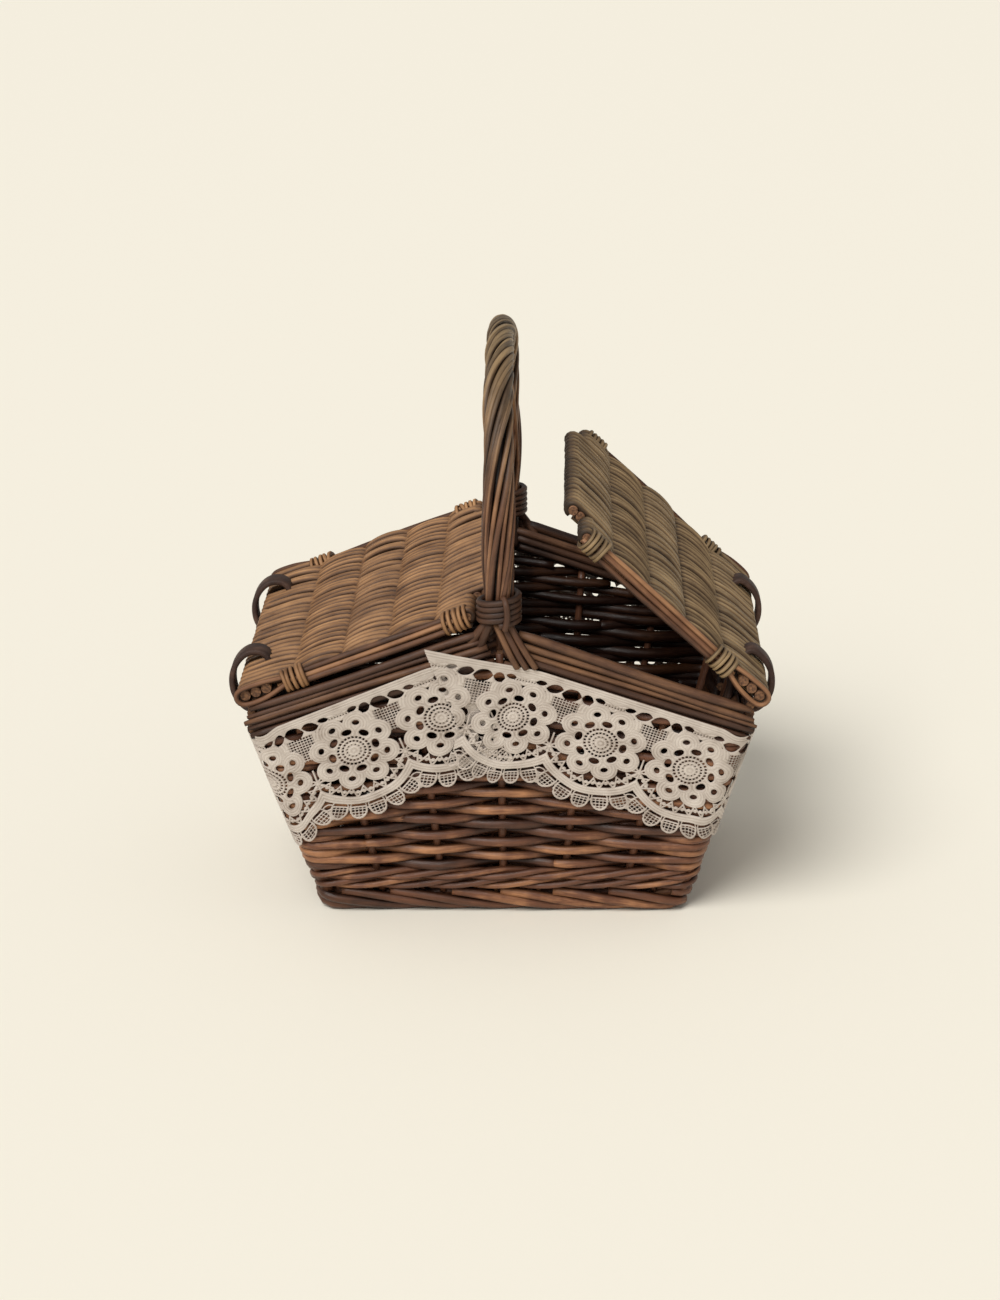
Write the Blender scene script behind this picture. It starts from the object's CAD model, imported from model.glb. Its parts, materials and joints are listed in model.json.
import bpy
import json
import math
import numpy as np
from mathutils import Matrix, Vector


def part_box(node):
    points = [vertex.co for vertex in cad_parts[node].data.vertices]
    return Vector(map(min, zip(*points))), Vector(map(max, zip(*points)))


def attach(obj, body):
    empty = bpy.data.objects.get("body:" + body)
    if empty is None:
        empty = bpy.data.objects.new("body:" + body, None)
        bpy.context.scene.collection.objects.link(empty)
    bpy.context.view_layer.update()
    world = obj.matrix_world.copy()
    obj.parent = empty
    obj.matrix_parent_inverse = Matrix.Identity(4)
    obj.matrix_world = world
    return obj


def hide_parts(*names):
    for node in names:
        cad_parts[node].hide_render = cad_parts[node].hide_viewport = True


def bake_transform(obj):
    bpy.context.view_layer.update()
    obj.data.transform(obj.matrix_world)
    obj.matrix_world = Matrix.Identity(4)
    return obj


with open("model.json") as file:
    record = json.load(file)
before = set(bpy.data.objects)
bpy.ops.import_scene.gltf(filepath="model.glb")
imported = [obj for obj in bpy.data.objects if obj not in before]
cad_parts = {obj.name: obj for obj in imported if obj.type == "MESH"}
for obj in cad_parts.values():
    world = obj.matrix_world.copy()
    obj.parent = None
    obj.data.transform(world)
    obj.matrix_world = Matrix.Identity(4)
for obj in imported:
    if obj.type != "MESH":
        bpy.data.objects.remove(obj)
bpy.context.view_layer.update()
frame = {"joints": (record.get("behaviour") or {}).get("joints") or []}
noise = np.random.default_rng(11)


def millimetres(node):
    low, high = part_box(node)
    return np.array(low) * 1000, np.array(high) * 1000


def deselectAll():
    bpy.ops.object.select_all(action="DESELECT")


# edit mode on one piece with everything in it selected
def editAll(piece):
    deselectAll()
    piece.select_set(True)
    bpy.context.view_layer.objects.active = piece
    bpy.ops.object.mode_set(mode="EDIT")
    bpy.ops.mesh.select_all(action="SELECT")


# sizes in millimetres, read from the frame
_, footHigh = millimetres("foot_border")
rimLow, rimHigh = millimetres("front_right_rim_rods")
_, wallHigh = millimetres("front_wall_weave")
bindingLow, bindingHigh = millimetres("front_handle_binding")
strandTop = max(millimetres("handle_strand_%d" % i)[1][2] for i in (1, 2, 3, 4))
hinges = {j["name"]: j for j in frame["joints"]}
hingeX = abs(hinges["left_lid_hinge"]["pos_m"][0]) * 1000
hingeZ = hinges["left_lid_hinge"]["pos_m"][2] * 1000

basket = {
    # outer half sizes on the ground and along the top line
    "groundX": footHigh[0], "groundY": footHigh[1],
    "topX": rimHigh[0] - 2, "topY": -rimLow[1],
    # heights of the top line, and the corner radius
    "corner": 93.4, "peak": wallHigh[2],
    "round": 9.0,
}
gable = (basket["peak"] - basket["corner"]) / basket["topX"]


def lerp(a, b, t):
    return a + (b - a) * t


def topLine(u):
    return lerp(basket["peak"], basket["corner"], min(abs(u), 1))


# a smooth line through the points, with a new point about every step
def smoothLine(points, step, closed=False):
    p = np.array(points, float)
    n = len(p)
    out = []
    spans = n if closed else n - 1
    for i in range(spans):
        if closed:
            a, b, c, d = p[i - 1], p[i], p[(i + 1) % n], p[(i + 2) % n]
        else:
            a, b, c, d = p[max(i - 1, 0)], p[i], p[i + 1], p[min(i + 2, n - 1)]
        count = max(1, int(round(np.linalg.norm(c - b) / step)))
        for k in range(count):
            t = k / count
            out.append(0.5 * ((2 * b) + (c - a) * t + (2 * a - 5 * b + 4 * c - d) * t * t
                              + (3 * b - a - 3 * c + d) * t ** 3))
    if not closed:
        out.append(p[-1])
    return np.array(out)


# radius and out hold for the whole line or are given per point
def wandOf(line, radius, shade, **more):
    return {"line": np.array(line), "radius": radius, "tone": shade, **more}


# one mesh of round wands; tone shades a whole wand, crown is low where it turns inwards
# or, by its lift, lies under others
def wandMesh(name, wands, materials, sides=8):
    verts, faces, uvs, tones, crowns, kinds = [], [], [], [], [], []
    angles = np.arange(sides) * 2 * math.pi / sides
    for wand in wands:
        p = np.array(wand["line"], float)
        closed = wand.get("closed", False)
        n = len(p)
        r = np.broadcast_to(np.array(wand["radius"], float), (n,))
        if closed:
            tangent = np.roll(p, -1, 0) - np.roll(p, 1, 0)
        else:
            tangent = np.gradient(p, axis=0)
        tangent /= np.linalg.norm(tangent, axis=1)[:, None] + 1e-12
        side = np.cross(tangent[0], wand.get("up", (0.13, 0.21, 0.97)))
        side /= np.linalg.norm(side)
        frames = []
        for t in tangent:
            side = side - t * np.dot(side, t)
            side /= np.linalg.norm(side)
            frames.append((side.copy(), np.cross(t, side)))
        length = np.concatenate([[0], np.cumsum(np.linalg.norm(np.diff(p, axis=0), axis=1))]) * 0.001
        twistFix = 0.0
        if closed:
            s0, b0 = frames[0]
            s = side - tangent[0] * np.dot(side, tangent[0])
            twistFix = -math.atan2(np.dot(s, b0), np.dot(s, s0))
        start = len(verts)
        tone = wand.get("tone", 0.5)
        out = wand.get("out")
        if out is not None:
            out = np.broadcast_to(np.array(out, float), (n, 3))
        lift = wand.get("lift")
        for i in range(n):
            s, b = frames[i]
            turn = twistFix * i / n
            over, under = (1.0, 1.0) if lift is None else (lift[i], 1.1 - lift[i])
            for a in angles:
                direction = s * math.cos(a + turn) + b * math.sin(a + turn)
                verts.append((p[i] + direction * r[i]) * 0.001)
                facing = 1.0 if out is None else float(np.dot(direction, out[i]))
                if facing > 0:
                    crowns.append(facing * over)
                else:
                    crowns.append(wand.get("inside", 1.0) * -facing * under)
        tones += [tone] * (n * sides)
        shift = noise.random() * 3
        rings = n if closed else n - 1
        for i in range(rings):
            j = (i + 1) % n
            v0 = length[i]
            v1 = length[j] if j else length[i] + np.linalg.norm(p[0] - p[-1]) * 0.001
            for k in range(sides):
                m = (k + 1) % sides
                here, there = start + i * sides, start + j * sides
                faces.append((here + k, here + m, there + m, there + k))
                u0, u1 = k / sides, (k + 1) / sides
                uvs += [(u0, v0 + shift), (u1, v0 + shift), (u1, v1 + shift), (u0, v1 + shift)]
                kinds.append(0)
        if not closed:
            for ring, flip in ((0, True), (n - 1, False)):
                loop = [start + ring * sides + k for k in range(sides)]
                if flip:
                    loop.reverse()
                faces.append(tuple(loop))
                uvs += [(0.5 + 0.5 * math.cos(a), shift + 0.003 * math.sin(a)) for a in angles]
                kinds.append(1)
    mesh = bpy.data.meshes.new(name)
    mesh.from_pydata([tuple(v) for v in verts], [], faces)
    mesh.uv_layers.new(name="UVMap").data.foreach_set("uv", np.array(uvs, np.float32).ravel())
    for layer, values in (("tone", tones), ("crown", crowns)):
        mesh.attributes.new(layer, "FLOAT", "POINT").data.foreach_set("value", np.array(values, np.float32))
    mesh.polygons.foreach_set("use_smooth", [k == 0 for k in kinds])
    for material in materials:
        mesh.materials.append(material)
    if len(materials) > 1:
        mesh.polygons.foreach_set("material_index", kinds)
    mesh.update()
    piece = bpy.data.objects.new(name, mesh)
    bpy.context.scene.collection.objects.link(piece)
    print("piece", name, len(mesh.polygons) * 2)
    return piece


# materials
def newMaterial(name):
    material = bpy.data.materials.new(name)
    material.use_nodes = True
    tree = material.node_tree
    shader = tree.nodes["Principled BSDF"]
    return material, tree, shader


def node(tree, kind, **inputs):
    made = tree.nodes.new(kind)
    for key, value in inputs.items():
        if key.startswith("set_"):
            setattr(made, key[4:], value)
        else:
            made.inputs[key].default_value = value
    return made


# a node that reads the place given
def texture(tree, kind, vector, **inputs):
    made = node(tree, kind, **inputs)
    tree.links.new(vector, made.inputs["Vector"])
    return made


def attribute(tree, name):
    made = tree.nodes.new("ShaderNodeAttribute")
    made.attribute_name = name
    return made.outputs["Fac"]


def surfaceMap(tree):
    made = tree.nodes.new("ShaderNodeUVMap")
    made.uv_map = "UVMap"
    return made.outputs["UV"]


# value times factor plus added, where added is a number or another socket
def multiplyAdd(tree, value, factor, added):
    made = node(tree, "ShaderNodeMath", set_operation="MULTIPLY_ADD")
    tree.links.new(value, made.inputs[0])
    made.inputs[1].default_value = factor
    if isinstance(added, float):
        made.inputs[2].default_value = added
    else:
        tree.links.new(added, made.inputs[2])
    return made.outputs[0]


def addBump(tree, shader, height, strength, distance):
    made = node(tree, "ShaderNodeBump", Strength=strength, Distance=distance)
    tree.links.new(height, made.inputs["Height"])
    tree.links.new(made.outputs["Normal"], shader.inputs["Normal"])


def colourRamp(tree, value, stops):
    ramp = tree.nodes.new("ShaderNodeValToRGB")
    tree.links.new(value, ramp.inputs["Fac"])
    elements = ramp.color_ramp.elements
    while len(elements) < len(stops):
        elements.new(0.5)
    for element, (place, colour) in zip(elements, stops):
        element.position = place
        element.color = (*colour, 1)
    return ramp.outputs["Color"]


def srgb(r, g, b):
    shares = (r / 255, g / 255, b / 255)
    return tuple(c / 12.92 if c <= 0.04045 else ((c + 0.055) / 1.055) ** 2.4 for c in shares)


# streaks run along the wand, patches across the basket; grey is a second colour that
# takes over with height, crevices the crown values between which a wand goes from dark to clear
def willow(name, dark, middle, light, roughness=0.5, toneSpread=0.55, grey=None, crevices=(0.45, 0.85)):
    material, tree, shader = newMaterial(name)
    link = tree.links.new
    uv = surfaceMap(tree)
    place = tree.nodes.new("ShaderNodeTexCoord").outputs["Object"]
    stretch = texture(tree, "ShaderNodeMapping", uv, Scale=(5.0, 38.0, 1.0))
    streak = texture(tree, "ShaderNodeTexNoise", stretch.outputs["Vector"], Scale=2.2, Detail=4.0,
                     Roughness=0.6)
    patch = texture(tree, "ShaderNodeTexNoise", place, Scale=70.0, Detail=3.0, Roughness=0.55)
    shade = multiplyAdd(tree, streak.outputs["Fac"], 0.55, -0.275)
    shade = multiplyAdd(tree, patch.outputs["Fac"], 0.7, shade)
    shade = multiplyAdd(tree, attribute(tree, "tone"), toneSpread, shade)
    clean = colourRamp(tree, shade, [(0.22, dark), (0.62, middle), (1.0, light)])
    crevice = colourRamp(tree, attribute(tree, "crown"),
                         [(0.0, (0.1, 0.08, 0.07)), (crevices[0], (0.42, 0.37, 0.34)),
                                                          (crevices[1], (1.0, 1.0, 1.0))])
    if grey is not None:
        split = texture(tree, "ShaderNodeSeparateXYZ", place)
        rise = node(tree, "ShaderNodeMapRange")
        rise.inputs["From Min"].default_value = grey["from"]
        rise.inputs["From Max"].default_value = grey["to"]
        link(split.outputs["Z"], rise.inputs["Value"])
        blend = node(tree, "ShaderNodeMix", set_data_type="RGBA")
        link(rise.outputs["Result"], blend.inputs["Factor"])
        link(clean, blend.inputs[6])
        link(colourRamp(tree, shade, [(0.2, grey["dark"]), (0.95, grey["light"])]), blend.inputs[7])
        clean = blend.outputs[2]
    worn = node(tree, "ShaderNodeMix", set_data_type="RGBA", set_blend_type="MULTIPLY", Factor=1.0)
    link(clean, worn.inputs[6])
    link(crevice, worn.inputs[7])
    link(worn.outputs[2], shader.inputs["Base Color"])
    fine = texture(tree, "ShaderNodeMapping", uv, Scale=(14.0, 60.0, 1.0))
    grain = texture(tree, "ShaderNodeTexNoise", fine.outputs["Vector"], Scale=2.0, Detail=3.0,
                    Roughness=0.65)
    addBump(tree, shader, grain.outputs["Fac"], 0.35, 0.0006)
    shine = node(tree, "ShaderNodeMapRange")
    shine.inputs["To Min"].default_value = roughness - 0.1
    shine.inputs["To Max"].default_value = roughness + 0.18
    link(streak.outputs["Fac"], shine.inputs["Value"])
    link(shine.outputs["Result"], shader.inputs["Roughness"])
    shader.inputs["Specular IOR Level"].default_value = 0.36
    return material


def cutWood(name, edge, heart):
    material, tree, shader = newMaterial(name)
    place = tree.nodes.new("ShaderNodeTexCoord").outputs["Object"]
    spots = texture(tree, "ShaderNodeTexNoise", place, Scale=900.0, Detail=2.0)
    colour = colourRamp(tree, spots.outputs["Fac"], [(0.35, edge), (0.65, heart)])
    tree.links.new(colour, shader.inputs["Base Color"])
    addBump(tree, shader, spots.outputs["Fac"], 0.4, 0.0004)
    shader.inputs["Roughness"].default_value = 0.75
    return material


def leather(name):
    material, tree, shader = newMaterial(name)
    place = tree.nodes.new("ShaderNodeTexCoord").outputs["Object"]
    grain = texture(tree, "ShaderNodeTexVoronoi", place, Scale=1400.0)
    wear = texture(tree, "ShaderNodeTexNoise", place, Scale=160.0, Detail=4.0)
    colour = colourRamp(tree, wear.outputs["Fac"], [(0.3, srgb(44, 30, 24)), (0.55, srgb(64, 44, 35)),
                                                    (0.8, srgb(92, 67, 53))])
    tree.links.new(colour, shader.inputs["Base Color"])
    addBump(tree, shader, grain.outputs["Distance"], 0.3, 0.0003)
    shader.inputs["Roughness"].default_value = 0.6
    shader.inputs["Specular IOR Level"].default_value = 0.3
    return material


def cotton(name):
    material, tree, shader = newMaterial(name)
    uv = surfaceMap(tree)
    thread = texture(tree, "ShaderNodeTexVoronoi", uv, Scale=2600.0)
    soft = texture(tree, "ShaderNodeTexNoise", uv, Scale=110.0, Detail=4.0)
    shade = multiplyAdd(tree, attribute(tree, "hollow"), 0.38, soft.outputs["Fac"])
    colour = colourRamp(tree, shade, [(0.3, srgb(150, 136, 124)), (0.55, srgb(188, 176, 166)),
                                      (1.05, srgb(214, 204, 194))])
    tree.links.new(colour, shader.inputs["Base Color"])
    addBump(tree, shader, thread.outputs["Distance"], 0.35, 0.0003)
    shader.inputs["Roughness"].default_value = 0.9
    shader.inputs["Sheen Weight"].default_value = 0.15
    shader.inputs["Specular IOR Level"].default_value = 0.2
    return material


finish = {
    "body": willow("body willow", srgb(60, 37, 26), srgb(110, 70, 49), srgb(198, 141, 97), 0.36, 0.45),
    "rim": willow("rim willow", srgb(50, 32, 23), srgb(86, 57, 40), srgb(134, 96, 66), 0.48, 0.5),
    "handle": willow("handle willow", srgb(56, 36, 26), srgb(108, 73, 52), srgb(168, 124, 88), 0.42,
                     grey={"from": 0.19, "to": 0.262, "dark": srgb(68, 54, 38),
                           "light": srgb(150, 129, 94)}),
    "leftLid": willow("left lid willow", srgb(112, 78, 50), srgb(178, 134, 92), srgb(224, 182, 134), 0.5,
                      0.22, crevices=(0.5, 0.86)),
    "rightLid": willow("right lid willow", srgb(98, 79, 55), srgb(160, 134, 98), srgb(206, 178, 134), 0.52,
                       0.22, crevices=(0.5, 0.86)),
    "edge": willow("edge willow", srgb(70, 46, 32), srgb(118, 80, 55), srgb(164, 120, 84), 0.5),
    "cut": cutWood("cut willow", srgb(84, 56, 38), srgb(138, 98, 67)),
    "leather": leather("strap leather"),
    "lace": cotton("lace cotton"),
}


def tone(centre=0.5, spread=0.28):
    return float(np.clip(noise.normal(centre, spread), 0, 1))


# a point on a wall: p runs -1 to 1 along the face, off is how far it stands out
def wallSpot(face, p, z, off):
    share = z / (topLine(p) if face in ("front", "back") else basket["corner"])
    hx = lerp(basket["groundX"], basket["topX"], share)
    hy = lerp(basket["groundY"], basket["topY"], share)
    r = basket["round"]
    if face == "front":
        return np.array([p * (hx - r), -hy - off, z])
    if face == "back":
        return np.array([-p * (hx - r), hy + off, z])
    if face == "right":
        return np.array([hx + off, p * (hy - r), z])
    return np.array([-hx - off, -p * (hy - r), z])


# the way out of the basket at each point of a line
def wallOut(line):
    p = np.array(line, float)
    share = p[:, 2] / basket["corner"]
    hx = lerp(basket["groundX"], basket["topX"], share) - basket["round"]
    hy = lerp(basket["groundY"], basket["topY"], share * 0.85) - basket["round"]
    out = np.stack([np.sign(p[:, 0]) * np.maximum(np.abs(p[:, 0]) - hx, 0),
                    np.sign(p[:, 1]) * np.maximum(np.abs(p[:, 1]) - hy, 0), 0 * share], 1)
    length = np.linalg.norm(out, axis=1)[:, None]
    return np.where(length > 0.01, out / np.maximum(length, 0.01), 0)


# how far a weaver stands clear of its neighbours, 0.2 to 1
def wallLift(line):
    p = np.array(line, float)
    tops = np.array([topLine(u) for u in p[:, 0] / basket["topX"]])
    hx = lerp(basket["groundX"], basket["topX"], p[:, 2] / basket["corner"])
    hy = lerp(basket["groundY"], basket["topY"], p[:, 2] / tops)
    offX, offY = np.abs(p[:, 0]) - hx, np.abs(p[:, 1]) - hy
    swayed = (np.maximum(offX, offY) + weave["inset"]) / weave["sway"]
    corner = (offX > -basket["round"] - 0.5) & (offY > -basket["round"] - 0.5)
    return np.where(corner, 1.0, np.clip(0.62 + 0.45 * swayed, 0.2, 1.0))


stakePlaces = {"front": [-0.72, -0.36, 0, 0.36, 0.72], "back": [-0.72, -0.36, 0, 0.36, 0.72],
               "right": [-0.5, 0, 0.5], "left": [-0.5, 0, 0.5]}
weave = {"wand": 2.2, "stake": 1.75, "post": 2.9, "postInset": 5.6, "sway": 2.6, "inset": 4.75, "rows": 19,
         "bottom": 24.0, "pitch": 3.65, "bow": 8.0, "backGirth": 1.2, "inside": 0.12, "shortRows": 7,
         "shortPitch": 3.75, "shortDrop": 3.6, "shortReach": 1.035, "shortStep": 0.134}


# a weaver that passes in front of one stake and behind the next
def weaveLine(face, row, height, swayOf, limit=1.0):
    places = stakePlaces[face]
    knots = [(-1.0, 1.0)] + [(p, swayOf(i, row)) for i, p in enumerate(places)] + [(1.0, 1.0)]
    points = []
    for (p0, s0), (p1, s1) in zip(knots[:-1], knots[1:]):
        steps = 8
        for k in range(steps):
            t = k / steps
            ease = 0.5 - 0.5 * math.cos(math.pi * t)
            p = lerp(p0, p1, t)
            if abs(p) <= limit:
                off = -weave["inset"] + weave["sway"] * lerp(s0, s1, ease)
                points.append(wallSpot(face, p, height(p), off))
    if limit >= 1:
        points.append(wallSpot(face, 1.0, height(1.0), -weave["inset"] + weave["sway"]))
    return points


def cornerArc(face, nextFace, z0, z1):
    a = wallSpot(face, 1.0, z0, -weave["inset"] + weave["sway"])
    b = wallSpot(nextFace, -1.0, z1, -weave["inset"] + weave["sway"])
    if face in ("front", "back"):
        centre = np.array([a[0], b[1], 0])
    else:
        centre = np.array([b[0], a[1], 0])
    points = []
    for k in range(1, 6):
        t = k / 6 * math.pi / 2
        va = a - centre
        vb = b - centre
        points.append(np.array([centre[0] + va[0] * math.cos(t) + vb[0] * math.sin(t),
                                centre[1] + va[1] * math.cos(t) + vb[1] * math.sin(t), lerp(z0, z1, k / 6)]))
    return points


def makeWalls():
    courses = []
    alternate = lambda i, row: 1.0 if (i + row) % 2 else -1.0
    for row in range(weave["rows"]):
        line = []
        wobble = noise.normal(0, 0.25, 12)
        base = weave["bottom"] + row * weave["pitch"]
        bow = weave["bow"] * (row / (weave["rows"] - 1))
        for f, face in enumerate(("front", "right", "back", "left")):
            def height(p, f=f, face=face):
                rise = bow * (1 - abs(p)) if face in ("front", "back") else 0
                drift = wobble[(3 * f + int((p + 1) * 1.5)) % 12] * (1 - p * p)
                return base + rise + drift + 0.35 * math.sin(5 * p + row * 1.7 + f)
            line += weaveLine(face, row, height, alternate)
            nextFace = ("right", "back", "left", "front")[f]
            nextHeight = base + 0.35 * math.sin(-5 + row * 1.7 + (f + 1) % 4)
            line += cornerArc(face, nextFace, height(1.0), nextHeight)
        radius = weave["wand"] + noise.normal(0, 0.09)
        line = np.array(line)
        thickness = radius * (1 + 0.07 * np.sin(np.arange(len(line)) * 0.11 + row))
        thickness *= np.where(line[:, 1] > -40, weave["backGirth"], 1.0)
        noise.normal()  # keeps the draws that follow in step
        courses.append((line, thickness))
    # every row is cut where one wand runs out and the next starts, each with its own tone
    rows = []
    for line, radius in courses:
        n = len(line)
        cuts = sorted(int(c) for c in (noise.random(4) * n))
        for a, b in zip(cuts, cuts[1:] + [cuts[0] + n]):
            if b - a < 8:
                continue
            index = [i % n for i in range(a, b + 2)]
            taper = np.ones(len(index))
            taper[:3] = (0.75, 0.9, 1)
            taper[-3:] = (1, 0.9, 0.75)
            rows.append(wandOf(line[index], radius[index] * taper, tone(0.5, 0.3),
                               out=wallOut(line[index]), inside=weave["inside"], lift=wallLift(line[index])))
    # short rows fill the gables
    for face in ("front", "back"):
        for j in range(1, weave["shortRows"] + 1):
            reach = weave["shortReach"] - weave["shortStep"] * j
            if reach < 0.12:
                continue
            height = lambda p: (basket["corner"] + weave["bow"] + weave["shortPitch"] * j
                                + 0.3 * math.sin(6 * p + j) - weave["bow"] * abs(p) - weave["shortDrop"])
            line = weaveLine(face, weave["rows"] + j, height, alternate, limit=reach)
            rows.append(wandOf(line, weave["wand"], tone(), out=wallOut(line), inside=weave["inside"],
                               lift=wallLift(line)))
    piece = wandMesh("wall_weave", rows, [finish["body"], finish["cut"]], 8)
    stakes = []
    for face, places in stakePlaces.items():
        for p in places:
            top = topLine(p) if face in ("front", "back") else basket["corner"] + 3
            line = [wallSpot(face, p, z, -weave["inset"] + 0.15 * math.sin(z))
                    for z in np.linspace(9, top, 12)]
            stakes.append(wandOf(line, weave["stake"], tone(0.3, 0.15)))
    for sx in (-1, 1):
        for sy in (-1, 1):
            line = []
            for z in np.linspace(8, basket["corner"] + 1, 10):
                share = z / basket["corner"]
                hx = lerp(basket["groundX"], basket["topX"], share) - weave["postInset"]
                hy = lerp(basket["groundY"], basket["topY"], share) - weave["postInset"]
                line.append((sx * hx, sy * hy, z))
            stakes.append(wandOf(line, weave["post"], tone(0.3, 0.15)))
    posts = wandMesh("stakes_and_posts", stakes, [finish["body"], finish["cut"]], 8)
    return piece, posts


# a point on the ring round all four sides, q from 0 to 1 starting at the front
def ringSpot(q, z, off):
    share = z / basket["corner"]
    hx = lerp(basket["groundX"], basket["topX"], share)
    hy = lerp(basket["groundY"], basket["topY"], share * 0.87)
    r = basket["round"]
    sx, sy, arc = 2 * (hx - r), 2 * (hy - r), math.pi * r / 2
    total = 2 * (sx + sy) + 4 * arc
    d = (q % 1.0) * total
    for k in range(4):
        side = sx if k % 2 == 0 else sy
        if d <= side:
            t = d - side / 2
            faces = [(t, -hy - off, z), (hx + off, t, z), (-t, hy + off, z), (-hx - off, -t, z)]
            return np.array(faces[k])
        d -= side
        if d <= arc:
            a = -math.pi / 2 + k * math.pi / 2 + d / r
            cx, cy = [(1, -1), (1, 1), (-1, 1), (-1, -1)][k]
            return np.array([cx * (hx - r) + (r + off) * math.cos(a),
                             cy * (hy - r) + (r + off) * math.sin(a), z])
        d -= arc
    return np.array([0, -hy - off, z])


# bands are height, radius and phase of each three-rod wale
waleSizes = {"bands": ((14.6, 1.5, 0.0), (19.4, 1.55, 0.37)), "rods": 3, "turns": 9, "points": 300,
             "up": 1.7, "out": 2.3, "inset": 2.9}
footSizes = {"rods": 22, "span": 0.19, "points": 20, "from": 75, "to": -230, "height": 6.1, "up": 3.8,
             "inset": 4.0, "out": 2.7, "radius": 2.2}
floorSizes = {"inset": 6, "height": 11.2, "sticks": 12, "stick": 1.5, "endPitch": 4.6, "end": 1.25,
              "pitch": 3.1, "sway": 1.5, "wand": 1.35}


def makeBottom():
    wale = []
    for z0, radius, phase in waleSizes["bands"]:
        for s in range(waleSizes["rods"]):
            shade = tone(0.5, 0.25)
            line = []
            for i in range(waleSizes["points"]):
                q = i / waleSizes["points"]
                a = 2 * math.pi * (waleSizes["turns"] * q + s / waleSizes["rods"] + phase)
                line.append(ringSpot(q, z0 + waleSizes["up"] * math.sin(a),
                                     -waleSizes["inset"] + waleSizes["out"] * math.cos(a)))
            wale.append(wandOf(line, radius, shade, closed=True, out=wallOut(line)))
    waling = wandMesh("waling_rods", wale, [finish["body"], finish["cut"]], 7)
    foot = []
    for i in range(footSizes["rods"]):
        q0 = i / footSizes["rods"] + noise.normal(0, 0.006)
        line = []
        for k in range(footSizes["points"]):
            t = k / (footSizes["points"] - 1)
            swing = math.radians(lerp(footSizes["from"], footSizes["to"], t))
            line.append(ringSpot(q0 + footSizes["span"] * t,
                                 footSizes["height"] + footSizes["up"] * math.sin(swing),
                                 -footSizes["inset"] + footSizes["out"] * math.cos(swing)))
        line = smoothLine(line, 3.0)
        foot.append(wandOf(line, footSizes["radius"] + noise.normal(0, 0.12), tone(0.42, 0.25),
                           out=wallOut(line)))
    border = wandMesh("foot_border_rods", foot, [finish["body"], finish["cut"]], 8)
    floor = []
    hx, hy = basket["groundX"] - floorSizes["inset"], basket["groundY"] - floorSizes["inset"]
    level = floorSizes["height"]
    sticks = np.linspace(-hx + floorSizes["inset"], hx - floorSizes["inset"], floorSizes["sticks"])
    for x in sticks:
        line = [(x, y, level) for y in np.linspace(-hy - 3.4, hy + 3.4, 8)]
        floor.append(wandOf(line, floorSizes["stick"], tone(0.35, 0.2)))
    # short upright ends stand along the front and back of the floor
    for x in np.arange(-hx + 2, hx, floorSizes["endPitch"]):
        for sy in (-1, 1):
            if min(abs(x - s) for s in sticks) > 2.4:
                line = [(x + 0.4 * math.sin(z), sy * (hy + 1.8 + 0.1 * z), z)
                        for z in np.linspace(level - 2.6, level + 2.4, 5)]
                floor.append(wandOf(line, floorSizes["end"], tone(0.5, 0.3)))
    gap = sticks[1] - sticks[0]
    for j, y in enumerate(np.arange(-hy + 1.5, hy - 1, floorSizes["pitch"])):
        line = [(x, y, level + floorSizes["sway"] * math.cos(math.pi * ((x - sticks[0]) / gap + j)))
                for x in np.linspace(-hx, hx, 60)]
        floor.append(wandOf(line, floorSizes["wand"], tone(0.4, 0.25)))
    base = wandMesh("floor_weave", floor, [finish["body"], finish["cut"]], 6)
    return waling, border, base


# girths are the radii of a gable's rods from the lowest up, taper their share of it along
# each rod from peak to corner
rimSizes = {"girths": (2.2, 1.5, 1.9, 1.35, 1.75), "overlap": 0.4, "lowest": -3.0, "inset": 2.1, "rod": 1.9,
            "taper": [0.8] + [1.0] * 14 + [0.97, 0.85, 0.55], "innerRows": 3, "innerInset": 4.0,
            "innerPitch": 3.7, "endRows": 4, "endInset": 1.8, "endHalf": 70.5, "endPitch": 3.7,
            "backRows": 2, "backInset": 6.2, "backHalf": 68, "backPitch": 3.9}


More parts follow.
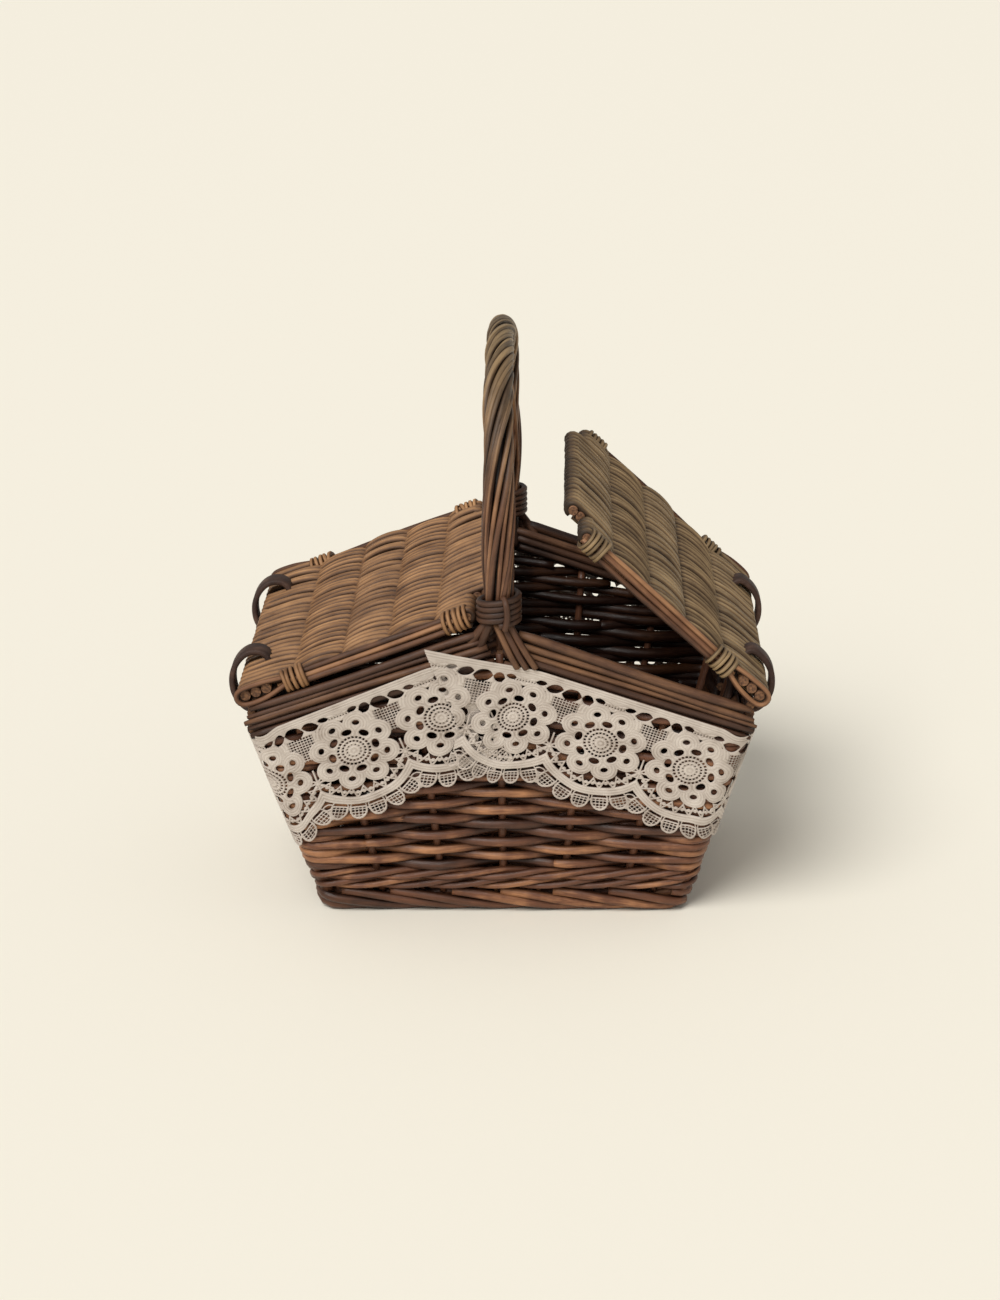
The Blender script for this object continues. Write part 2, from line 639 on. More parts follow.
def makeRim():
    rods = []
    y = basket["topY"] - rimSizes["inset"]
    for sy in (-1, 1):
        for sx in (-1, 1):
            lift = rimSizes["lowest"]
            for i in range(5):
                thickness = rimSizes["girths"][(i + (sx > 0)) % 5]
                lift += 2 * thickness - rimSizes["overlap"]
                line = []
                for x in np.linspace(2.0 + 1.5 * i, basket["topX"] + 1.4 - 1.2 * abs(i - 2), 18):
                    sag = (0.35 * math.sin(x * 0.06 + 2 * i + sy)
                           + 1.5 * (1 - x / basket["topX"]) * (i - 2) * 0.35)
                    z = basket["peak"] - gable * x + lift - thickness + sag
                    line.append((sx * x, sy * (y + 0.3 * math.sin(x * 0.05 + i)), z))
                rods.append(wandOf(line, thickness * np.array(rimSizes["taper"]), tone(0.5, 0.2),
                                   out=(0, sy * 0.8, 0.6)))
            for i in range(rimSizes["innerRows"]):
                lift = 0.2 + i * rimSizes["innerPitch"]
                line = [(sx * x, sy * (y - rimSizes["innerInset"] - 1.2 * math.sin(x * 0.04 + i)),
                         basket["peak"] - gable * x + lift + 0.4 * math.sin(x * 0.07 + i))
                        for x in np.linspace(1.0, basket["topX"] - 2 - i, 12)]
                rods.append(wandOf(line, rimSizes["rod"], tone(0.35, 0.2), out=(0, -sy * 0.8, 0.6)))
    for sx in (-1, 1):
        for i in range(rimSizes["endRows"]):
            z = basket["corner"] + 0.6 + i * rimSizes["endPitch"]
            x = basket["topX"] - rimSizes["endInset"] + 0.3 * i
            line = [(sx * (x + 0.3 * math.sin(y * 0.07 + i)), y, z + 0.4 * math.sin(y * 0.05 + 2 * i))
                    for y in np.linspace(-rimSizes["endHalf"], rimSizes["endHalf"], 16)]
            rods.append(wandOf(line, rimSizes["rod"], tone(0.5, 0.25), out=(sx * 0.8, 0, 0.6)))
        for i in range(rimSizes["backRows"]):
            z = basket["corner"] + 1.2 + i * rimSizes["backPitch"]
            line = [(sx * (basket["topX"] - rimSizes["backInset"]), y, z)
                    for y in np.linspace(-rimSizes["backHalf"], rimSizes["backHalf"], 10)]
            rods.append(wandOf(line, rimSizes["rod"], tone(0.35, 0.2)))
    return wandMesh("rim_rods", rods, [finish["rim"], finish["cut"]], 10)


# loose are first share, last share, start angle and turns of the wands laid over the strands
handle = {"strands": 16, "radius": 1.22, "circle": 5.75, "thinner": 1.3, "turns": 2.5, "gather": 0.62,
          "points": 110, "squeeze": 0.22, "squeezeReach": 0.07, "core": 1.7, "looseRadius": 1.1,
          "loose": ((0.04, 0.47, 0.3, 0.8), (0.1, 0.6, 3.6, -0.35), (0.5, 0.95, 1.2, 0.7),
                    (0.42, 0.93, 4.4, -0.4), (0.3, 0.7, 2.1, 1.6)),
          "legY": -(bindingLow[1] + bindingHigh[1]) / 2,
          "bottom": bindingLow[2], "spring": bindingLow[2] + 10, "top": strandTop}
wrapping = {"circle": 8.1, "turns": 4.6, "points": 150, "low": 1.4, "rise": 11.4, "radius": 1.45,
            "tail": 1.3}
# where the rods of the handle end: outer ones by start, end and drop, low ones by start and end
rodTips = {"outer": ((-1.2, 7.5, 15.5), (1.6, 11.2, 14.5), (4.2, 15.0, 13.0)), "outerRadius": 1.5,
           "low": ((-3.6, -8.2), (-5.0, -13.5)), "lowRadius": 1.75,
           "straight": 3, "straightPitch": 3.4, "straightSpread": 3.8, "straightRadius": 1.9}


def girth(share):
    return handle["circle"] - handle["thinner"] * max(math.sin(math.pi * share), 0) ** 1.5


# centre of the handle and the way out of the hoop, share from 0 at the front foot to 1
def hoopSpot(share):
    leg = handle["spring"] - handle["bottom"]
    rise = handle["top"] - handle["spring"] - girth(0.5) - handle["radius"]
    half = handle["legY"]
    arc = math.pi * (half + rise) / 2
    d = share * (arc + 2 * leg)
    angle = min(max((d - leg) / arc, 0), 1) * math.pi
    drop = max(leg - d, 0) + max(d - leg - arc, 0)
    squareness = 1 + 0.06 * math.sin(2 * angle) ** 2
    centre = np.array([0, -half * math.cos(angle) * squareness,
                       handle["spring"] - drop + rise * math.sin(angle) * squareness])
    outward = np.array([0, -math.cos(angle), math.sin(angle)])
    return centre, outward


def makeHandle():
    strands = []
    count = handle["points"]
    for s in range(handle["strands"]):
        line, radius, outs = [], [], []
        size = handle["radius"] + noise.normal(0, 0.16)
        drift = noise.normal(0, 0.22)
        rise = noise.random() * 6
        for i in range(count + 1):
            share = i / count
            centre, outward = hoopSpot(share)
            lay = share - handle["gather"] * math.sin(2 * math.pi * share) / (2 * math.pi)
            a = 2 * math.pi * (s / handle["strands"] + handle["turns"] * lay)
            a += drift * math.sin(9 * share + s)
            squeeze = (1 - handle["squeeze"] * math.exp(-((share / handle["squeezeReach"]) ** 2))
                       - handle["squeeze"] * math.exp(-(((1 - share) / handle["squeezeReach"]) ** 2)))
            circle = girth(share) * squeeze * (1 + 0.08 * math.sin(17 * share + rise))
            around = outward * math.cos(a) + np.array([1, 0, 0]) * math.sin(a)
            outs.append(around)
            line.append(centre + around * circle)
            radius.append(size * (0.86 + 0.14 * squeeze))
        strands.append(wandOf(line, np.array(radius), tone(0.45, 0.32), out=np.array(outs)))
    core = [hoopSpot(i / 60)[0] for i in range(61)]
    coreRadius = [girth(i / 60) - handle["core"] for i in range(61)]
    strands.append(wandOf(core, np.array(coreRadius), 0.0, out=(0, 0, 0.02)))
    for first, last, start, twist in handle["loose"]:
        line, outs = [], []
        for share in np.linspace(first, last, 50):
            centre, outward = hoopSpot(share)
            a = start + 2 * math.pi * twist * (share - first) / (last - first)
            around = outward * math.cos(a) + np.array([1, 0, 0]) * math.sin(a)
            fade = max(math.sin(math.pi * (share - first) / (last - first)), 0) ** 0.4
            outs.append(around)
            line.append(centre + around * (girth(share) - 0.9 + 1.8 * fade))
        strands.append(wandOf(line, handle["looseRadius"], tone(0.6, 0.25), out=np.array(outs)))
    hoop = wandMesh("handle_rods", strands, [finish["handle"], finish["cut"]], 10)
    turns = []
    for sy in (-1, 1):
        y0 = sy * handle["legY"]
        line = []
        for i in range(wrapping["points"]):
            t = i / (wrapping["points"] - 1)
            a = 2 * math.pi * wrapping["turns"] * t
            line.append((wrapping["circle"] * math.sin(a), y0 - wrapping["circle"] * math.cos(a),
                         handle["bottom"] + wrapping["low"] + wrapping["rise"] * t + 0.9 * math.sin(a + 0.6)))
        around = (np.array(line) - (0, y0, 0)) * (1, 1, 0) / wrapping["circle"]
        turns.append(wandOf(line, wrapping["radius"], tone(0.5, 0.2), out=around))
        knot = [(2.0, y0 + sy * 6.5, handle["bottom"] + 13.5),
                (3.2, y0 + sy * 9.4, handle["bottom"] + 11.5),
                (3.6, y0 + sy * 10.0, handle["bottom"] + 6), (2.6, y0 + sy * 9.2, handle["bottom"] + 0.5)]
        turns.append(wandOf(smoothLine(knot, 1.0), wrapping["tail"], tone(0.6, 0.2)))
    bindings = wandMesh("handle_bindings", turns, [finish["rim"], finish["cut"]], 8)
    ends = []
    outer = basket["topY"] + 1.9
    for sy in (-1, 1):
        sign = 1 if sy < 0 else -1
        for x0, x1, drop in rodTips["outer"]:
            z0 = handle["bottom"] + 1.5
            z1 = basket["peak"] + 13.5 - drop - gable * x1
            line = [(sign * x0, sy * (handle["legY"] + 4.4), z0),
                    (sign * lerp(x0, x1, 0.35), sy * (outer + 0.6), lerp(z0, z1, 0.35)),
                    (sign * lerp(x0, x1, 0.7), sy * (outer + 0.9), lerp(z0, z1, 0.7)),
                    (sign * x1, sy * (outer - 0.7), z1)]
            ends.append(wandOf(smoothLine(line, 2.0), rodTips["outerRadius"], tone(0.5, 0.3),
                               out=(0, sy, 0.2)))
        for k, (x0, x1) in enumerate(rodTips["low"]):
            line = [(sign * x0, sy * (handle["legY"] + 3.5 - 1.5 * k), handle["bottom"] + 1.5),
                    (sign * lerp(x0, x1, 0.5), sy * (handle["legY"] + 2.5 - k), handle["bottom"] - 4),
                    (sign * x1, sy * (handle["legY"] + 1.0 - k), handle["bottom"] - 10.5)]
            ends.append(wandOf(smoothLine(line, 2.0), rodTips["lowRadius"], tone(0.4, 0.2)))
        for k in range(rodTips["straight"]):
            line = [((k - 1) * rodTips["straightPitch"], sy * (handle["legY"] - 2.5), handle["bottom"] + 2),
                    ((k - 1) * rodTips["straightSpread"], sy * (handle["legY"] - 4.4),
                     handle["bottom"] - 14)]
            ends.append(wandOf(smoothLine(line, 3.0), rodTips["straightRadius"], tone(0.3, 0.2)))
    feet = wandMesh("handle_rod_ends", ends, [finish["rim"], finish["cut"]], 10)
    return hoop, bindings, feet


# a lid lies along x from its outer edge, hinge at x = 0; crossings are where its weave changes side
lid = {"slope": 20.7, "open": 23.0, "length": 112.6, "tab": 104.8, "notch": 51.5, "thick": 7.2,
       "depth": 70.6,
       "crossings": (25.0, 47.0, 68.0, 89.0), "pitch": 5.2, "wand": 1.72, "sway": 2.3,
       "outerRods": (2.7, 7.4, 12.1), "outerRod": 2.15, "hiddenRod": 1.2, "innerRods": (2.6, 6.6),
       "innerRod": 1.9, "edgeOffsets": ((0.0, -1.6), (1.5, -0.2), (0.4, 1.5), (1.9, -2.6)), "edgeRod": 1.3,
       "bindingsAt": (24.6, 97.6), "bindingTurns": 5, "bindingPitch": 2.2, "bindingWide": 4.3,
       "bindingTall": 4.35, "binding": 1.0, "wrap": 1.15}


def lidMatrix(side):
    tilt = math.radians(lid["slope"] + (lid["open"] if side == "right" else 0))
    local = Matrix.Translation((-hingeX, 0, hingeZ)) @ Matrix.Rotation(-tilt, 4, "Y")
    return (Matrix.Rotation(math.pi, 4, "Z") @ local) if side == "right" else local


# which side of the crossing rods a wand runs, -1 to 1
def lidSway(s, parity, end):
    bounds = (-2.0,) + lid["crossings"] + (end + 2.0,)
    for k in range(len(bounds) - 1):
        if s <= bounds[k + 1] or k == len(bounds) - 2:
            a, b = bounds[k], bounds[k + 1]
            t = (s - a) / (b - a)
            sign = 1 if (k + parity) % 2 == 0 else -1
            if k == 0:
                lift = 1.0 if t < 0.5 else math.sin(math.pi * t)
            elif k == len(bounds) - 2:
                lift = 1.0 if t > 0.5 else math.sin(math.pi * t)
            else:
                lift = math.sin(math.pi * t)
            return sign * abs(lift) ** 0.62
    return 0


def makeLid(side, weaveFinish):
    turn = lidMatrix(side)
    place = lambda points: np.array([tuple(turn @ Vector(p)) for p in points])
    middle = lid["thick"] / 2
    faceOut = np.array(turn.to_3x3() @ Vector((0, 0, 1)))
    wands = []
    count = int(lid["depth"] * 2 / lid["pitch"])
    reach = lid["sway"]
    for j in range(count + 1):
        for parity in (0, 1):
            y = -lid["depth"] + j * lid["pitch"] + parity * lid["pitch"] / 2
            if y > lid["depth"]:
                continue
            end = lid["length"] if abs(y) < lid["notch"] else lid["tab"]
            wobble = noise.normal(0, 0.42)
            rise = noise.normal(0, 0.3)
            phase = noise.random() * 6
            points, sways = [], []
            if parity == 0:  # wraps the outer rods
                for a in np.linspace(-100, 60, 7):
                    points.append((2.6 - reach * 1.15 * math.cos(math.radians(a)), y,
                                   middle + reach * math.sin(math.radians(a))))
            start = 3.2 if parity == 0 else 4.0
            for s in np.arange(start, end - 3.0, 2.4):
                sways.append(lidSway(s, parity, end))
                points.append((s, y + wobble + 0.4 * math.sin(s * 0.13 + phase),
                               middle + (reach + rise) * sways[-1]))
            if parity == 0:  # and the inner rods
                for a in np.linspace(80, -100, 8):
                    points.append((end - 2.6 + reach * 1.1 * math.cos(math.radians(a)), y + wobble,
                                   middle + reach * math.sin(math.radians(a))))
            lifts = [min(max(0.78 + 0.85 * w, 0.06), 1.0) for w in sways]
            if parity == 0:
                lifts = [1.0] * 7 + lifts + [1.0] * 8
            wands.append(wandOf(place(points), lid["wand"] + noise.normal(0, 0.13), tone(0.5, 0.24),
                                out=faceOut, lift=np.array(lifts)))
    panel = wandMesh(side + "_lid_wands", wands, [weaveFinish, finish["cut"]], 6)
    rods = []

    def rod(s, y0, y1, radius, shade):
        line = [(s, y, middle) for y in np.linspace(y0, y1, 8)]
        rods.append(wandOf(place(line), radius, shade))

    for s in lid["outerRods"]:
        rod(s, -72.4, 72.4, lid["outerRod"], tone(0.6, 0.2))
    for s in lid["crossings"]:
        rod(s, -70, 70, lid["hiddenRod"], 0.3)
    for inset in lid["innerRods"]:
        rod(lid["length"] - inset, -lid["notch"] - 0.6, lid["notch"] + 0.6, lid["innerRod"], tone(0.5, 0.2))
    for sy in (-1, 1):
        for inset in lid["innerRods"]:
            rod(lid["tab"] - inset, sy * 50, sy * 71.6, lid["innerRod"], tone(0.5, 0.2))
    bars = wandMesh(side + "_lid_rods", rods, [finish["edge"], finish["cut"]], 12)
    edges, turns = [], []
    for sy in (-1, 1):
        edgeOut = np.array(turn.to_3x3() @ Vector((0, sy * 0.8, 0.6)))
        for k, (dy, dt) in enumerate(lid["edgeOffsets"]):
            line = [(s, sy * (lid["depth"] + dy + 0.35 * math.sin(s * 0.08 + k)),
                     middle + dt + 0.35 * math.sin(s * 0.06 + 2 * k))
                    for s in np.linspace(17.0 + 3 * k, lid["tab"] - 1.5 - 2.0 * k, 16)]
            edges.append(wandOf(place(line), lid["edgeRod"] + noise.normal(0, 0.08), tone(0.5, 0.3),
                                out=edgeOut))
        for centre in lid["bindingsAt"]:
            for k in range(lid["bindingTurns"]):
                s0 = centre - 2 * lid["bindingPitch"] + lid["bindingPitch"] * k + noise.normal(0, 0.15)
                slant = noise.normal(0, 0.5)
                line, outs = [], []
                for a in np.linspace(0, 360, 25)[:-1]:
                    c, d = math.cos(math.radians(a)), math.sin(math.radians(a))
                    line.append((s0 + slant * c, sy * (lid["depth"] - 0.3 + lid["bindingWide"] * c),
                                 middle - 0.3 + lid["bindingTall"] * d))
                    outs.append(tuple(turn.to_3x3() @ Vector((0, sy * c, d))))
                turns.append(wandOf(place(line), lid["binding"] + noise.normal(0, 0.06), tone(0.35, 0.25),
                                    closed=True, out=np.array(outs)))
        wrap = [(21, 72.3, 2.6), (11, 73.4, 0.2), (1.5, 73.5, 0.3), (-1.0, 73.5, 3.6), (1.5, 73.6, 6.9),
                (11, 73.5, 7.1), (21, 72.3, 5.6)]
        line = smoothLine([(a, sy * b, c) for a, b, c in wrap], 1.0)
        edges.append(wandOf(place(line), lid["wrap"], tone(0.6, 0.2), out=edgeOut))
    border = wandMesh(side + "_lid_edge_wands", edges, [finish["edge"], finish["cut"]], 8)
    ties = wandMesh(side + "_lid_bindings", turns, [weaveFinish, finish["cut"]], 7)
    return panel, bars, border, ties


# angles are those of the round back of each strap, seen along y
strap = {"halfWide": 4.5, "halfThick": 1.25, "round": 0.8, "backWide": 10.6, "backTall": 12.4, "slot": 11.0,
         "skew": 2.6, "place": 44, "inset": 9.2,
         "angles": {"left": (78, 45, 12, -22, -56), "right": (52, 20, -10, -36, -60)}}


def makeLoop(name, side, sy):
    opening = lid["open"] if side == "right" else 0
    tilt = math.radians(lid["slope"] + opening)
    along = lambda s, t: (hingeX - s * math.cos(tilt) + t * math.sin(tilt),
                          hingeZ + s * math.sin(tilt) + t * math.cos(tilt))
    cx, cz = hingeX - 3.1, hingeZ + 1.1
    slot = strap["slot"]
    inner = basket["topX"] - strap["inset"]
    points = [(inner, basket["corner"] + 1.6),
              (lerp(inner, along(slot, -2)[0], 0.6), lerp(basket["corner"], along(slot, -2)[1], 0.55)),
              along(slot, -1.5), along(slot, lid["thick"] + 1.2)]
    for a in strap["angles"][side]:
        points.append((cx + strap["backWide"] * math.cos(math.radians(a)),
                       cz + strap["backTall"] * math.sin(math.radians(a))))
    points.append((basket["topX"] + 0.5, basket["corner"] + 1.6))
    path = smoothLine([(x, 0, z) for x, z in points], 1.3, closed=True)
    section = []
    r = strap["round"]
    wide, thick = strap["halfWide"] - r, strap["halfThick"] - r
    for qx, qy, a0 in ((wide, thick, 0), (-wide, thick, 90), (-wide, -thick, 180), (wide, -thick, 270)):
        for a in (0, 45, 90):
            section.append((qx + r * math.cos(math.radians(a0 + a)),
                            qy + r * math.sin(math.radians(a0 + a))))
    n, m = len(path), len(section)
    verts, faces = [], []
    sx = 1 if side == "right" else -1
    tangent = np.roll(path, -1, 0) - np.roll(path, 1, 0)
    tangent /= np.linalg.norm(tangent, axis=1)[:, None]
    for i in range(n):
        normal = np.array([tangent[i][2], 0, -tangent[i][0]])
        for w, t in section:
            p = path[i] + normal * t
            skew = strap["skew"] * (p[2] - cz) / strap["backTall"]
            verts.append((sx * p[0] * 0.001, (sy * strap["place"] + w + skew) * 0.001, p[2] * 0.001))
    for i in range(n):
        for k in range(m):
            a, b = i * m + k, i * m + (k + 1) % m
            c, d = ((i + 1) % n) * m + (k + 1) % m, ((i + 1) % n) * m + k
            faces.append((a, b, c, d))
    mesh = bpy.data.meshes.new(name)
    mesh.from_pydata(verts, [], faces)
    mesh.materials.append(finish["leather"])
    mesh.polygons.foreach_set("use_smooth", [True] * len(faces))
    piece = bpy.data.objects.new(name, mesh)
    bpy.context.scene.collection.objects.link(piece)
    editAll(piece)
    bpy.ops.mesh.normals_make_consistent(inside=False)
    bpy.ops.object.mode_set(mode="OBJECT")
    return piece


# repeat and height are of one scallop, flower its centre down from the top edge, band the
# radius of the scalloped band; lean is in degrees, first is where the first flower lies
# along a strip, endX and leftEnd are the x where the two strips start on the front
lace = {"repeat": 39.0, "height": 60.5, "cell": 0.325, "flower": 25.2, "band": 25.2, "thick": 0.72,
        "most": 188000, "stand": 0.7, "leanPeak": 18.8, "leanCorner": 14.4, "firstRight": 5.9,
        "firstLeft": 19.9, "endX": -31.0, "leftEnd": 14.0, "rise": 0.082, "slant": 0.62, "slantMost": 22.0}
# leaves are centre, half width, half height, depth and tilt; rings of holes are count, radius
# and half sizes; fans are degrees, radius, size and height over width
motif = {"petal": 5.7, "petalRadius": 13.55, "disc": 13.2, "header": 3.4,
         "rings": ((26, 6.75, 0.5, 0.5), (20, 4.85, 0.42, 0.42), (12, 3.0, 0.26, 0.3)),
         "leaves": ((-12.4, 2.4, 0.95, 5.5, -0.12), (-6.2, 3.6, 1.75, 6.4, -0.2),
                    (1.3, 4.2, 2.4, 7.0, -0.12),
                    (8.3, 2.6, 1.9, 6.8, 0.1), (13.4, 2.3, 0.95, 5.4, 0.12)),
         "netPitch": 1.3, "star": 34.2, "knots": 21.0, "zigFrom": 18.4, "zig": 5.2, "fanPitch": 1.55,
         "fans": ((-38.7, 31.2, 3.3, 1.3), (38.7, 31.2, 3.3, 1.3), (-31.0, 29.9, 3.95, 1.3),
                  (-15.5, 29.9, 3.95, 1.3), (0, 29.9, 3.95, 1.3), (15.5, 29.9, 3.95, 1.3),
                  (31.0, 29.9, 3.95, 1.3))}


# one repeat as arrays: there is thread where field is above 0, relief is its height and
# hollow goes from 0 in its grooves to 1 on its ribs
def lacePattern():
    columns = int(round(lace["repeat"] / lace["cell"]))
    rows = int(round(lace["height"] / lace["cell"]))
    u = np.linspace(-lace["repeat"] / 2, lace["repeat"] / 2, columns + 1)
    v = np.linspace(0, lace["height"], rows + 1)
    U, V = np.meshgrid(u, v, indexing="ij")
    side = np.abs(np.abs(U) - lace["repeat"] / 2)  # distance from the line between two flowers
    x, y = U, V - lace["flower"]
    r = np.hypot(x, y)
    angle = np.arctan2(x, y)  # 0 straight down
    polar = lambda radius, a: (radius * math.sin(a), radius * math.cos(a))

    def ellipse(cx, cy, a, along, across):
        dx, dy = x - cx, y - cy
        p = dx * math.cos(a) - dy * math.sin(a)
        q = dx * math.sin(a) + dy * math.cos(a)
        return (1 - np.hypot(p / along, q / across)) * min(along, across)

    petals = np.full(U.shape, -9.0)
    nearest = np.full(U.shape, 9.0)
    for k in range(8):
        cx, cy = polar(motif["petalRadius"], math.radians(22.5 + 45 * k))
        d = np.hypot(x - cx, y - cy)
        petals = np.maximum(petals, motif["petal"] - d)
        nearest = np.minimum(nearest, d)
    flower = np.maximum(petals, motif["disc"] - r)
    outline = flower
    ripple = np.where(r > 12.2, np.cos(2 * math.pi * (nearest - 0.2) / 1.3), 0)
    inner = np.full(U.shape, 9.0)
    for k in range(8):
        cx, cy = polar(9.7, math.radians(45 * k))
        inner = np.minimum(inner, np.hypot(x - cx, y - cy))
    ripple = np.where((r <= 12.2) & (r > 7.6), np.cos(2 * math.pi * (inner - 0.3) / 1.3), ripple)
    ripple = np.where(r <= 7.6, np.cos(2 * math.pi * (r - 5.75) / 1.85), ripple)
    for k in range(8):
        a = math.radians(22.5 + 45 * k)
        cx, cy = polar(14.0, a)
        flower = np.minimum(flower, -ellipse(cx, cy, a, 1.55, 1.2))
        a = math.radians(45 * k)
        cx, cy = polar(9.6, a)
        flower = np.minimum(flower, -ellipse(cx, cy, a, 2.2, 1.5))
    for count, radius, half, tall in motif["rings"]:
        step = 2 * math.pi / count
        local = (angle + step / 2) % step - step / 2
        hole = np.minimum(half - np.abs(local * r), tall - np.abs(r - radius))
        flower = np.minimum(flower, -hole)

    ground = np.minimum(lace["flower"] - 3.0 - V, 9.5 - side)
    pitch = motif["netPitch"]
    cellHole = lambda p, q, bar: np.minimum(pitch / 2 - bar - np.abs((p + pitch / 2) % pitch - pitch / 2),
                                            pitch / 2 - bar - np.abs((q + pitch / 2) % pitch - pitch / 2))
    net = -cellHole(side + pitch / 2, V, 0.24)
    netArea = np.minimum(np.minimum(V - 9.6, 24.0 - V), 5.6 - side)
    ground = np.where(netArea > 0, np.minimum(ground, net), ground)
    ground = np.maximum(ground, 8.8 - V)
    # signed place either side of the joint line
    s = np.where(U > 0, U - lace["repeat"] / 2, U + lace["repeat"] / 2)
    for centre, half, tall, at, tilt in motif["leaves"]:
        p = s - centre
        q = V - at - tilt * p
        lens = 1.25 * tall * (1 - np.abs(p / half) ** 2.6) - np.abs(q)
        ground = np.minimum(ground, -lens)
    small = -cellHole(U + 0.65, V, 0.33)
    smallArea = np.minimum(np.minimum(V - 5.4, 9.0 - V), 4.6 - np.abs(U))
    ground = np.where((smallArea > 0) & (r > 18.2), np.minimum(ground, small), ground)
    ground = np.minimum(ground, 0.3 - outline)
    header = motif["header"] - V
    field = np.maximum(np.maximum(flower, ground), header)

    # star between the flowers, over the point of the scallops
    sx, sy = side, V - motif["star"]
    spider = 1.2 - np.hypot(sx, sy)
    for k in range(5):
        a = math.radians(45 * k - 90)
        along = sx * math.cos(a) + sy * math.sin(a)
        across = np.abs(-sx * math.sin(a) + sy * math.cos(a))
        spider = np.maximum(spider, np.minimum(0.4 - across, np.minimum(along, 7.5 - along)))
    below = V > lace["flower"] + 2
    field = np.maximum(field, np.where(below & (r > 17), spider, -9))

    # knots and bars between the flower and the scalloped band
    step = math.radians(15.0)
    down = np.abs(angle) < math.radians(62)
    zig = np.abs(((angle / step) % 1.0) - 0.5) * 2
    barPath = motif["zigFrom"] + motif["zig"] * zig
    spacing = math.hypot(motif["zig"] * 2, 21 * step) / (21 * step)
    bars = 0.4 - np.abs(r - barPath) / spacing
    knotStep = step / 2
    local = (angle + knotStep / 2) % knotStep - knotStep / 2
    knots = 0.85 - np.hypot(local * r, r - motif["knots"])
    ring = 0.3 - np.abs(r - motif["knots"])
    netting = np.maximum(np.maximum(bars, knots), ring)
    netting = np.where(down & (r > 17.5) & (r < 24.6) & (V > lace["flower"] + 10.5), netting, -9)
    field = np.maximum(field, netting)

    band = 1.95 - np.abs(r - lace["band"])
    band = np.where(V > 37.5, band, -9)
    field = np.maximum(field, band)
    inBand = band > -0.1
    ripple = np.where(inBand & (flower < 0.2), np.cos(2 * math.pi * (r - lace["band"]) / 1.3), ripple)

    # fans along the scallop
    fanPitch = motif["fanPitch"]
    outside = (r > lace["band"] + 1.2) & below
    for degrees, radius, size, tall in motif["fans"]:
        a = math.radians(degrees)
        if radius > 30:
            cx, cy = math.copysign(lace["repeat"] / 2, a), 25.0
            turn = 0.0
        else:
            cx, cy = polar(radius, a)
            turn = a
        dx, dy = x - cx, y - cy
        across = dx * math.cos(turn) - dy * math.sin(turn)
        along = dx * math.sin(turn) + dy * math.cos(turn)
        d = size - np.hypot(across, along / tall)
        grid = np.maximum(0.22 - np.abs((across + fanPitch / 2) % fanPitch - fanPitch / 2),
                          0.22 - np.abs((along + fanPitch / 2) % fanPitch - fanPitch / 2))
        fan = np.minimum(d, np.maximum(0.85 - d, grid))
        chord = np.minimum(d, 0.36 - np.abs(along + 1.25))
        lens = np.minimum(d - 0.6, -1.6 - along)
        fan = np.maximum(np.minimum(fan, -lens), chord)
        field = np.where(outside & (d > 0) & (band < 0.1), np.maximum(fan, band), field)
    ripple = np.where(V < motif["header"], np.cos(2 * math.pi * (V - 0.6) / 1.15), ripple)
    edge = np.clip(field / 0.55, 0, 1)
    relief = 0.2 + 0.45 * np.sqrt(np.clip(1 - (1 - edge) ** 2, 0,
                                          1)) + 0.12 * ripple * np.clip(field / 0.5, 0, 1)
    hollow = np.clip(0.5 + 0.5 * ripple, 0, 1) * edge
    # the two sides of a repeat meet at the same values
    for values in (field, relief, hollow):
        values[0] = values[-1] = 0.5 * (values[0] + values[-1])
    return u, v, field, relief, hollow


# one repeat as flat faces, cut along the line where field is 0
def laceTile():
    u, v, field, relief, hollow = lacePattern()
    nu, nv = field.shape
    verts, keys, faces = [], {}, []
    inside = field > 0

    def corner(i, j):
        key = ("c", i, j)
        if key not in keys:
            keys[key] = len(verts)
            verts.append((u[i], v[j], relief[i, j], hollow[i, j]))
        return keys[key]

    def crossing(i0, j0, i1, j1):
        key = ("e",) + min(((i0, j0), (i1, j1))) + max(((i0, j0), (i1, j1)))
        if key not in keys:
            f0, f1 = field[i0, j0], field[i1, j1]
            t = f0 / (f0 - f1)
            t = min(max(t, 0.08), 0.92)
            keys[key] = len(verts)
            verts.append((lerp(u[i0], u[i1], t), lerp(v[j0], v[j1], t), 0.1, 0.0))
        return keys[key]

    for i in range(nu - 1):
        for j in range(nv - 1):
            ring = ((i, j), (i, j + 1), (i + 1, j + 1), (i + 1, j))
            state = [inside[c] for c in ring]
            if not any(state):
                continue
            if all(state):
                faces.append([corner(*c) for c in ring])
                continue
            polygon = []
            for k in range(4):
                a, b = ring[k], ring[(k + 1) % 4]
                if state[k]:
                    polygon.append(corner(*a))
                if state[k] != state[(k + 1) % 4]:
                    polygon.append(crossing(*a, *b))
            if len(polygon) > 2:
                faces.append(polygon)
    return verts, faces


